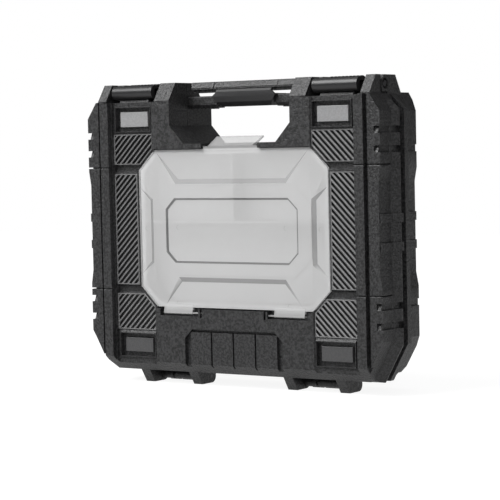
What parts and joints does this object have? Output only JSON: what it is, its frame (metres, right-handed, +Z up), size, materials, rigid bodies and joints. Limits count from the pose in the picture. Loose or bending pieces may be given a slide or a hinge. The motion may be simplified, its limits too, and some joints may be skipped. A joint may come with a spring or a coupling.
{
  "type": "screw organizer case",
  "caption": "Upright hinged parts case with a clear-lidded organizer tray in its front, a top carry handle and snap latches.",
  "frame": {"origin": "under the middle of the closed case, on the surface that its feet rest on", "axes": "+Z up, towards the handle; +X to the right of someone facing the clear lid; +Y away from them, towards the back"},
  "size_m": [0.32, 0.071, 0.272],
  "materials": {
    "case_black": "fine grained, satin black",
    "latch_black": "satin black",
    "grip_rubber": "soft matt black",
    "strip_grey": "satin dark grey, ribbed",
    "plate_light": "satin light grey",
    "plate_dark": "satin dark grey",
    "clear_lid": "clear polycarbonate, slightly smoky",
    "tray_grey": "frosted light grey",
    "pin_steel": "dark plated steel"
  },
  "bodies": {
    "rear": {"rear_shell": "case_black", "handle_core": "case_black", "handle_grip": "grip_rubber", "latch_pin_left": "pin_steel", "latch_pin_right": "pin_steel"},
    "front": {"front_shell": "case_black", "organizer_tray": "tray_grey", "tray_divider": "tray_grey", "hinge_pin_left": "pin_steel", "corner_plate_left_upper": "plate_light", "corner_plate_left_lower": "plate_dark", "ribbed_strip_left_upper": "strip_grey", "ribbed_strip_left_middle": "strip_grey", "ribbed_strip_left_lower": "strip_grey", "hinge_pin_right": "pin_steel", "corner_plate_right_upper": "plate_light", "corner_plate_right_lower": "plate_dark", "ribbed_strip_right_upper": "strip_grey", "ribbed_strip_right_middle": "strip_grey", "ribbed_strip_right_lower": "strip_grey"},
    "lid": {"window_lid": "clear_lid"},
    "latch_left": {"latch_left": "latch_black"},
    "latch_right": {"latch_right": "latch_black"}
  },
  "joints": [
    {"name": "case_hinge", "type": "hinge", "parent": "rear", "child": "front", "pos_m": [0, 0.0015, 0.0059], "axis": [1, 0, 0], "range_deg": [0, 160]},
    {"name": "lid_hinge", "type": "hinge", "parent": "front", "child": "lid", "pos_m": [0, -0.0282, 0.066], "axis": [1, 0, 0], "range_deg": [0, 110]},
    {"name": "latch_left_hinge", "type": "hinge", "parent": "rear", "child": "latch_left", "pos_m": [-0.10755, -0.0065, 0.2645], "axis": [-1, 0, 0], "range_deg": [0, 100]},
    {"name": "latch_right_hinge", "type": "hinge", "parent": "rear", "child": "latch_right", "pos_m": [0.10755, -0.0065, 0.2645], "axis": [-1, 0, 0], "range_deg": [0, 100]}
  ]
}
